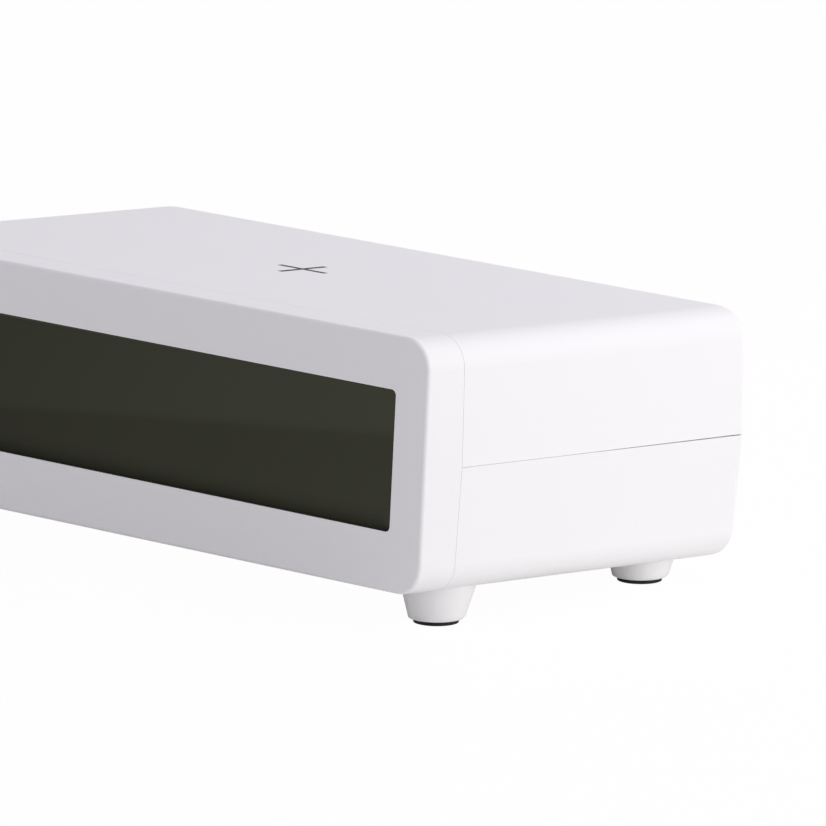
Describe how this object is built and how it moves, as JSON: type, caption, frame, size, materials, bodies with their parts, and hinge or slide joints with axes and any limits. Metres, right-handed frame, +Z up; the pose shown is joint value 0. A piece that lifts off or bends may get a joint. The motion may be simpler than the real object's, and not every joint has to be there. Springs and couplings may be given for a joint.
{
  "type": "wireless charger alarm clock",
  "caption": "Low white bedside alarm clock with a wide smoked display window, a wireless charging top, tapered feet that lean it back, and push buttons and a power inlet at the rear.",
  "frame": {"origin": "on the floor, under the middle of the outline of the clock", "axes": "+X along the width, to the right as seen from the front; +Y from the display to the rear; +Z up"},
  "size_m": [0.188, 0.1034, 0.0657],
  "materials": {
    "white_shell": "fine satin moulding",
    "button_plastic": "satin",
    "smoked_window": "smoked, polished",
    "pad_rubber": "matte",
    "black_plastic": "matte",
    "segment_plastic": "tinted, diffusing",
    "board_laminate": "solder mask",
    "steel": "plated",
    "stem_plastic": "satin",
    "ferrite": "matte",
    "copper": "enamelled wire",
    "contact_brass": "spring strip",
    "lead_plastic": "sleeved",
    "pale_plastic": "satin"
  },
  "bodies": {
    "clock": {"front_bezel": "white_shell", "upper_case": "white_shell", "lower_case": "white_shell", "foot_front_left": "white_shell", "foot_front_right": "white_shell", "foot_rear_left": "white_shell", "foot_rear_right": "white_shell", "cell_door": "white_shell", "display_window": "smoked_window", "pad_front_left": "pad_rubber", "pad_front_right": "pad_rubber", "pad_rear_left": "pad_rubber", "pad_rear_right": "pad_rubber", "light_mask": "black_plastic", "digit_reflector": "black_plastic", "coil_tray": "black_plastic", "buzzer": "black_plastic", "switch_bodies": "black_plastic", "board_chips": "black_plastic", "inlet_tongue": "black_plastic", "digit_segments": "segment_plastic", "display_board": "board_laminate", "main_board": "board_laminate", "charger_board": "board_laminate", "display_screws": "steel", "case_screws": "steel", "board_screws": "steel", "tray_screws": "steel", "door_screw": "steel", "power_inlet": "steel", "coin_cell": "steel", "ferrite_sheet": "ferrite", "charging_coil": "copper", "cell_contacts": "contact_brass", "coil_leads": "lead_plastic", "coil_plug": "pale_plastic", "ribbon_sockets": "pale_plastic", "display_ribbon": "pale_plastic"},
    "mode_press": {"mode_button": "button_plastic", "mode_stem": "stem_plastic"},
    "alarm_press": {"alarm_button": "button_plastic", "alarm_stem": "stem_plastic"},
    "down_press": {"down_button": "button_plastic", "down_stem": "stem_plastic"},
    "up_press": {"up_button": "button_plastic", "up_stem": "stem_plastic"},
    "light_press": {"light_button": "button_plastic", "light_stem": "stem_plastic"}
  },
  "joints": [
    {"name": "mode_button_slide", "type": "slide", "parent": "clock", "child": "mode_press", "axis": [0, -0.9986, 0.0523], "range_m": [0, 0.0005], "stiffness_N_per_m": 1500, "springref_m": -0.0005},
    {"name": "alarm_button_slide", "type": "slide", "parent": "clock", "child": "alarm_press", "axis": [0, -0.9986, 0.0523], "range_m": [0, 0.0005], "stiffness_N_per_m": 1500, "springref_m": -0.0005},
    {"name": "down_button_slide", "type": "slide", "parent": "clock", "child": "down_press", "axis": [0, -0.9986, 0.0523], "range_m": [0, 0.0005], "stiffness_N_per_m": 1500, "springref_m": -0.0005},
    {"name": "up_button_slide", "type": "slide", "parent": "clock", "child": "up_press", "axis": [0, -0.9986, 0.0523], "range_m": [0, 0.0005], "stiffness_N_per_m": 1500, "springref_m": -0.0005},
    {"name": "light_button_slide", "type": "slide", "parent": "clock", "child": "light_press", "axis": [0, -0.9986, 0.0523], "range_m": [0, 0.0005], "stiffness_N_per_m": 1500, "springref_m": -0.0005}
  ]
}
